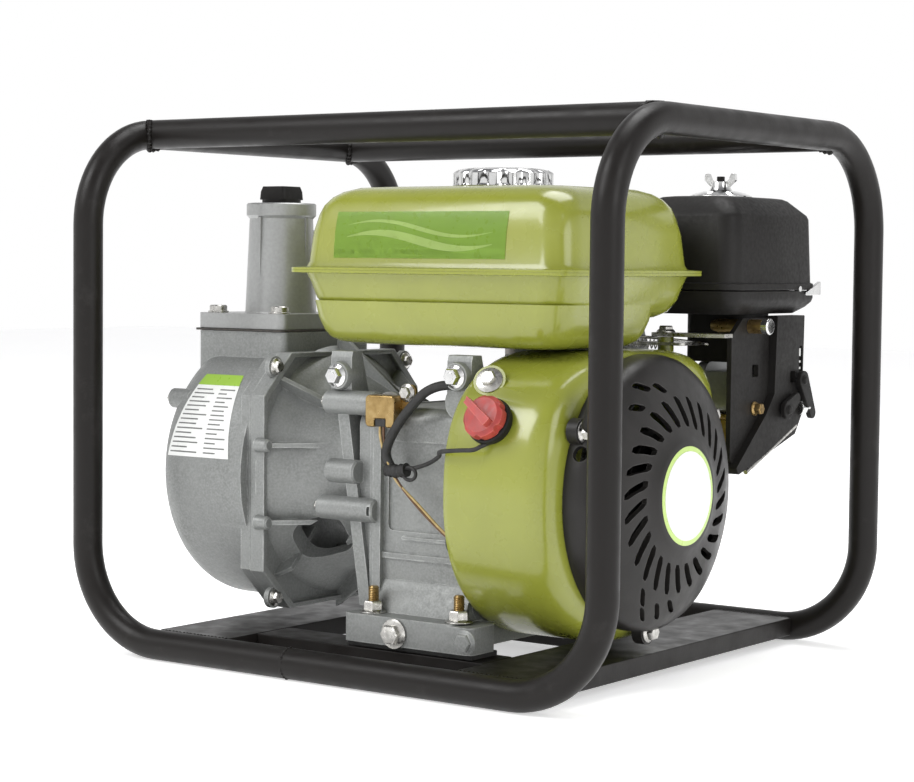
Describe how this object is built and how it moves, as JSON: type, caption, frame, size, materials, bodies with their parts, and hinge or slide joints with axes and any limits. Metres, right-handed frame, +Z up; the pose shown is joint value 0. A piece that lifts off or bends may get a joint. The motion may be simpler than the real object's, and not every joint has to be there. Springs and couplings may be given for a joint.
{
  "type": "engine driven water pump",
  "caption": "Petrol engine driven centrifugal water pump in a black tubular roll frame, with recoil starter, fuel tank and air cleaner.",
  "frame": {"origin": "on the floor, under the middle of the roll frame", "axes": "+X along the crankshaft from the pump to the recoil starter, +Y from the crankcase to the cylinder head, +Z up"},
  "size_m": [0.478, 0.396, 0.4],
  "materials": {
    "frame_black": "satin black powder coat",
    "rubber": "matt black rubber",
    "gasket": "dark fibre gasket",
    "cast_aluminium": "painted sand-cast aluminium, slightly rough",
    "machined_aluminium": "machined aluminium, satin",
    "steel": "zinc-plated steel",
    "black_plastic": "textured black plastic",
    "starter_black": "satin black painted pressed steel",
    "engine_green": "glossy olive green paint",
    "red_plastic": "worn red plastic",
    "brass": "yellow chromated metal",
    "chrome": "bright plated steel",
    "filter_foam": "pleated filter paper"
  },
  "bodies": {
    "root": {"left_hoop": "frame_black", "right_hoop": "frame_black", "front_top_rail": "frame_black", "rear_top_rail": "frame_black", "pump_cross_plate": "frame_black", "starter_cross_plate": "frame_black", "front_engine_rail": "frame_black", "rear_engine_rail": "frame_black", "front_rubber_mount": "rubber", "rear_rubber_mount": "rubber", "shaft_seal": "rubber", "spark_plug": "rubber", "ignition_cable": "rubber", "outlet_gasket": "gasket", "pump_bracket": "cast_aluminium", "pump_casing": "cast_aluminium", "crankcase": "cast_aluminium", "side_cover": "cast_aluminium", "cylinder_head": "cast_aluminium", "left_tank_bracket": "cast_aluminium", "right_tank_bracket": "cast_aluminium", "inlet_nipple": "machined_aluminium", "outlet_column": "machined_aluminium", "carburettor": "machined_aluminium", "rocker_cover": "steel", "muffler": "steel", "muffler_guard": "black_plastic", "intake_elbow": "black_plastic", "air_cleaner_base": "black_plastic", "air_cleaner_cover": "black_plastic", "control_panel": "black_plastic", "switch_base": "black_plastic", "starter_cover": "starter_black", "tank_upper": "engine_green", "tank_lower": "engine_green", "blower_housing": "engine_green", "float_bowl": "brass", "oil_alert_unit": "brass", "filter_element": "filter_foam"},
    "crank": {"output_shaft": "steel", "flywheel_shaft": "steel", "flywheel": "cast_aluminium", "starter_cup": "steel", "impeller": "cast_aluminium"},
    "cam": {"camshaft": "steel"},
    "piston_and_rod": {"piston": "machined_aluminium", "connecting_rod": "machined_aluminium"},
    "reel": {"recoil_reel": "black_plastic"},
    "handle": {"starter_handle": "black_plastic"},
    "cap": {"fuel_cap": "chrome"},
    "switch": {"switch_knob": "red_plastic"},
    "throttle": {"throttle_lever": "steel"},
    "choke": {"choke_lever": "black_plastic"},
    "fuel_valve": {"fuel_valve_lever": "black_plastic"},
    "wing_nut": {"cover_wing_nut": "chrome"},
    "priming_plug": {"filler_plug": "black_plastic"},
    "pump_drain": {"drain_plug": "steel"},
    "oil_drain": {"oil_drain_bolt": "steel"},
    "oil_cap": {"oil_filler_cap": "black_plastic"},
    "flap": {"inlet_flap": "rubber"}
  },
  "joints": [
    {"name": "crank_spin", "type": "hinge", "parent": "root", "child": "crank", "pos_m": [0, -0.042, 0.134], "axis": [1, 0, 0], "continuous": true},
    {"name": "camshaft_spin", "type": "hinge", "parent": "root", "child": "cam", "pos_m": [0, -0.05859, 0.08843], "axis": [1, 0, 0], "continuous": true},
    {"name": "piston_stroke", "type": "slide", "parent": "root", "child": "piston_and_rod", "axis": [0, 0.9063, 0.4226], "range_m": [-0.054, 0]},
    {"name": "starter_pull", "type": "slide", "parent": "root", "child": "handle", "axis": [0, -0.9397, 0.3419], "range_m": [0, 0.35], "stiffness_N_per_m": 8, "springref_m": -0.05},
    {"name": "reel_spin", "type": "hinge", "parent": "root", "child": "reel", "pos_m": [0.177, -0.042, 0.134], "axis": [1, 0, 0], "range_deg": [0, 502]},
    {"name": "fuel_cap_turn", "type": "hinge", "parent": "root", "child": "cap", "pos_m": [0.029, -0.015, 0.349], "axis": [0, 0, 1], "range_deg": [0, 90]},
    {"name": "switch_turn", "type": "hinge", "parent": "root", "child": "switch", "pos_m": [0.117, -0.15424, 0.18671], "axis": [0, -0.9052, 0.4251], "range_deg": [0, 60]},
    {"name": "throttle_swing", "type": "hinge", "parent": "root", "child": "throttle", "pos_m": [0.122, 0.066, 0.24], "axis": [0, 0, 1], "range_deg": [0, 25]},
    {"name": "choke_swing", "type": "hinge", "parent": "root", "child": "choke", "pos_m": [0.1803, 0.171, 0.206], "axis": [1, 0, 0], "range_deg": [0, 50]},
    {"name": "fuel_valve_swing", "type": "hinge", "parent": "root", "child": "fuel_valve", "pos_m": [0.1803, 0.146, 0.184], "axis": [1, 0, 0], "range_deg": [-60, 0]},
    {"name": "wing_nut_spin", "type": "hinge", "parent": "root", "child": "wing_nut", "pos_m": [0.1325, 0.127, 0.345], "axis": [0, 0, 1], "continuous": true},
    {"name": "priming_plug_turn", "type": "hinge", "parent": "root", "child": "priming_plug", "pos_m": [-0.16, -0.045, 0.338], "axis": [0, 0, 1], "continuous": true},
    {"name": "pump_drain_turn", "type": "hinge", "parent": "root", "child": "pump_drain", "pos_m": [-0.205, -0.042, 0.062], "axis": [-1, 0, 0], "continuous": true},
    {"name": "oil_drain_turn", "type": "hinge", "parent": "root", "child": "oil_drain", "pos_m": [0.03, -0.145, 0.033], "axis": [0, -1, 0], "continuous": true},
    {"name": "oil_cap_turn", "type": "hinge", "parent": "root", "child": "oil_cap", "pos_m": [0.055, 0.014, 0.072], "axis": [0, 1, 0], "continuous": true},
    {"name": "flap_swing", "type": "hinge", "parent": "root", "child": "flap", "pos_m": [-0.2037, -0.042, 0.1565], "axis": [0, -1, 0], "range_deg": [0, 60]}
  ],
  "couplings": [
    {"joint": "camshaft_spin", "follows": "crank_spin", "ratio": -0.5},
    {"joint": "reel_spin", "follows": "starter_pull", "rad_per_m": 25}
  ]
}
